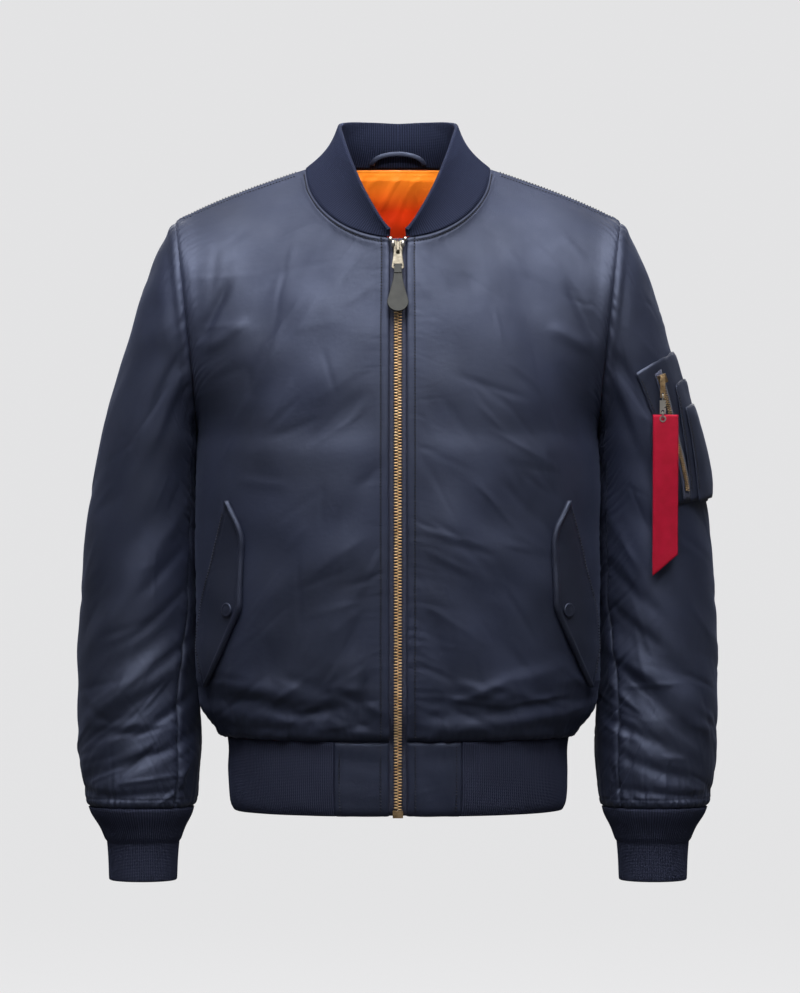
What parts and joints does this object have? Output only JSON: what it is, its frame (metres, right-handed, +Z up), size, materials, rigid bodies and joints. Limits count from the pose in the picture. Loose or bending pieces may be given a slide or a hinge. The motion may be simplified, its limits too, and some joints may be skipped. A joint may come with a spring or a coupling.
{
  "type": "bomber jacket",
  "caption": "Padded nylon bomber jacket, zipped up, in its hollow worn form, with ribbed collar, cuffs and hem, snapped pocket flaps and a zipped sleeve pocket with a webbing pull.",
  "frame": {"origin": "in the neck opening, midway between the two points where the shoulder seams meet the collar, and level with them", "axes": "+Z up, -Y to the front, +X to the wearer's left"},
  "size_m": [0.6626, 0.2886, 0.7844],
  "materials": {
    "nylon": "satin",
    "rib_knit": "matt ribbed knit",
    "lining": "satin",
    "zip_tape": "matt woven",
    "brass": "worn satin",
    "steel": "satin",
    "pull_leather": "smooth",
    "ribbon": "woven webbing"
  },
  "bodies": {
    "jacket": {"front_left": "nylon", "front_right": "nylon", "back": "nylon", "sleeve_left_top": "nylon", "sleeve_right_top": "nylon", "sleeve_left_under": "nylon", "sleeve_right_under": "nylon", "hem_block_left": "nylon", "hem_block_right": "nylon", "hanger_loop": "nylon", "flap_left": "nylon", "flap_right": "nylon", "snap_left": "nylon", "snap_right": "nylon", "sleeve_pocket": "nylon", "pen_pocket": "nylon", "pen_pocket_front": "nylon", "collar": "rib_knit", "cuff_left": "rib_knit", "cuff_right": "rib_knit", "hem_rib": "rib_knit", "lining_back": "lining", "zip_tape_left": "zip_tape", "zip_tape_right": "zip_tape", "sleeve_zip_tape": "zip_tape", "zip_chain": "brass", "zip_box": "brass", "zip_slider": "brass", "zip_stop_left": "brass", "zip_stop_right": "brass", "sleeve_zip_chain": "brass", "sleeve_zip_slider": "brass", "sleeve_zip_pull": "brass", "streamer_clip": "steel", "streamer_eyelet": "steel", "streamer_ring": "steel", "streamer": "ribbon"},
    "zip_pull": {"zip_pull": "steel", "zip_pull_leather": "pull_leather"}
  },
  "joints": [
    {"name": "zip_pull_hinge", "type": "hinge", "parent": "jacket", "child": "zip_pull", "pos_m": [0, -0.11278, -0.08735], "axis": [-1, 0, 0], "range_deg": [0, 150]}
  ]
}
